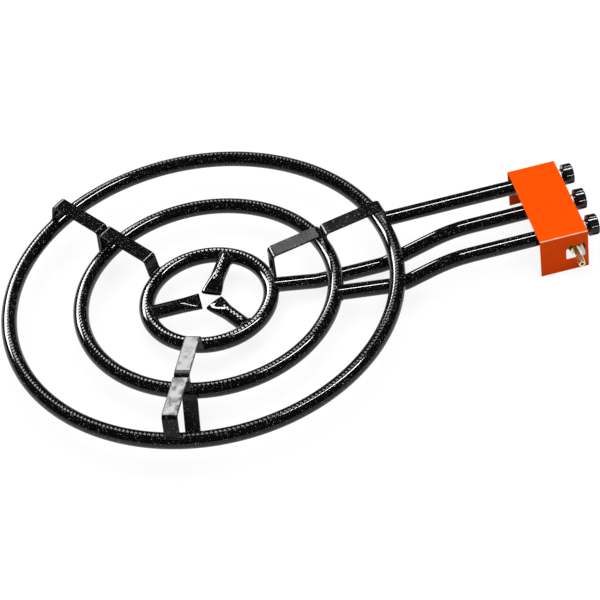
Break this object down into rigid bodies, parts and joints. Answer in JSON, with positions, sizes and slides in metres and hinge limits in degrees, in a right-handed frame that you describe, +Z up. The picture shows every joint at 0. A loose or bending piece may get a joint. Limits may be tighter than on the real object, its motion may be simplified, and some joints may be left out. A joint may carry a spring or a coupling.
{
  "type": "paella burner",
  "caption": "Round gas burner for paella pans: stepped tube rings on bent feed tubes, strap pan supports with splayed feet, and a folded cover over the gas bar with turning knobs.",
  "frame": {"origin": "on the floor, under the middle of the length from the outer ring to the knobs", "axes": "+X from the rings along the feed tubes to the knobs, +Z up"},
  "size_m": [1.032, 0.6999, 0.1199],
  "materials": {
    "ring_enamel": "gloss black vitreous enamel with fine pale specks",
    "strap_enamel": "satin black enamel with pale specks, worn bright on the pan rests",
    "cover_paint": "smooth orange powder coat",
    "turned_brass": "turned brass",
    "zinc_plate": "zinc-plated steel",
    "mixer_casting": "turned aluminium casting",
    "knob_plastic": "gloss black moulded plastic"
  },
  "bodies": {
    "burner": {"outer_ring": "ring_enamel", "middle_ring": "ring_enamel", "inner_ring": "ring_enamel", "outer_feed_tube": "ring_enamel", "inner_feed_tube": "ring_enamel", "middle_feed_tube": "ring_enamel", "back_star_tube": "ring_enamel", "left_star_tube": "ring_enamel", "front_star_tube": "ring_enamel", "gas_bar": "ring_enamel", "right_outer_strap": "strap_enamel", "right_inner_strap": "strap_enamel", "back_outer_strap": "strap_enamel", "back_inner_strap": "strap_enamel", "front_outer_strap": "strap_enamel", "front_inner_strap": "strap_enamel", "back_foot": "strap_enamel", "front_foot": "strap_enamel", "control_cover": "cover_paint", "mixer_bracket": "zinc_plate", "bar_clips": "zinc_plate", "tap_nuts": "zinc_plate", "bracket_screws": "zinc_plate", "bracket_nuts": "zinc_plate", "clip_screws": "zinc_plate", "bar_plug": "turned_brass", "hose_nozzle": "turned_brass", "outer_injector": "turned_brass", "inner_injector": "turned_brass", "middle_injector": "turned_brass", "outer_tap_body": "turned_brass", "inner_tap_body": "turned_brass", "middle_tap_body": "turned_brass", "outer_mixer": "mixer_casting", "inner_mixer": "mixer_casting", "middle_mixer": "mixer_casting"},
    "outer_control": {"outer_tap_stem": "zinc_plate", "outer_knob": "knob_plastic"},
    "inner_control": {"inner_tap_stem": "zinc_plate", "inner_knob": "knob_plastic"},
    "middle_control": {"middle_tap_stem": "zinc_plate", "middle_knob": "knob_plastic"}
  },
  "joints": [
    {"name": "outer_knob_turn", "type": "hinge", "parent": "burner", "child": "outer_control", "pos_m": [0.5, 0.063, 0.0665], "axis": [1, 0, 0], "range_deg": [0, 180]},
    {"name": "inner_knob_turn", "type": "hinge", "parent": "burner", "child": "inner_control", "pos_m": [0.5, -0.0055, 0.0665], "axis": [1, 0, 0], "range_deg": [0, 180]},
    {"name": "middle_knob_turn", "type": "hinge", "parent": "burner", "child": "middle_control", "pos_m": [0.5, -0.074, 0.0665], "axis": [1, 0, 0], "range_deg": [0, 180]}
  ]
}
